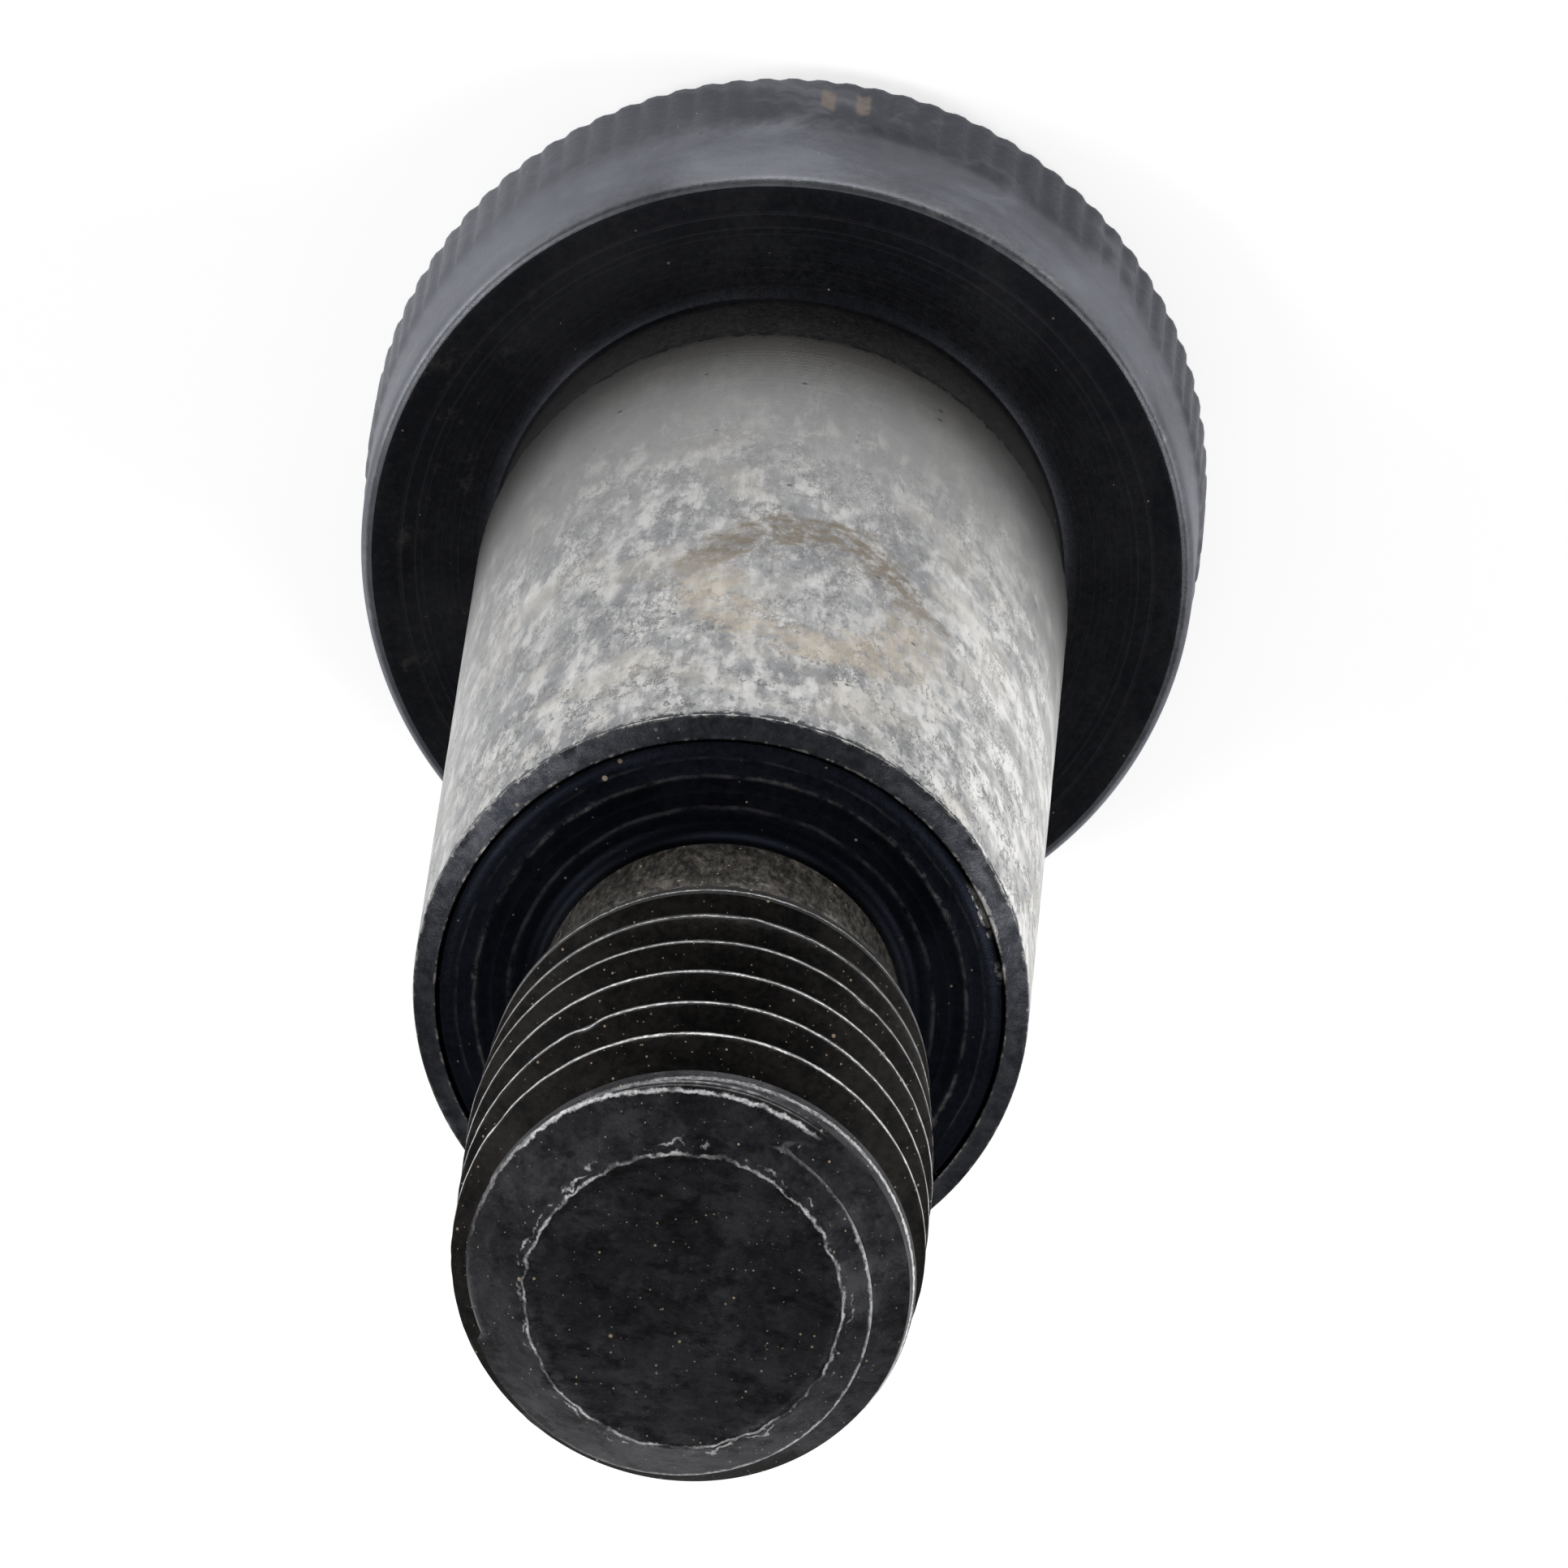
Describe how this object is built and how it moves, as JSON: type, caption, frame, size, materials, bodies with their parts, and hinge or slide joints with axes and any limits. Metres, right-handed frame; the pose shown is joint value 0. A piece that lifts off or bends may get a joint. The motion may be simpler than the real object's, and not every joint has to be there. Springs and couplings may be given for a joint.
{
  "type": "socket head shoulder screw",
  "caption": "Socket head shoulder screw: knurled head with hexagon socket, ground cylindrical shoulder, relief grooves and coarse right-hand thread, in black-oxide alloy steel.",
  "frame": {"origin": "centre of the head's flat top face, on which the screw stands", "axes": "+Z along the screw's axis from the head towards the thread end; X and Y are square to it, +X through a corner of the hexagon socket"},
  "size_m": [0.018, 0.018, 0.0455],
  "materials": {
    "black_oxide_steel": "alloy steel with a black oxide finish on the head, the relief grooves, the shoulder end, the neck and the thread; the shoulder's outside is ground bright after blackening, light grey with dull flaky patches; thread crests and end edges worn to bright metal"
  },
  "bodies": {
    "root": {"shoulder_screw": "black_oxide_steel"}
  },
  "joints": []
}
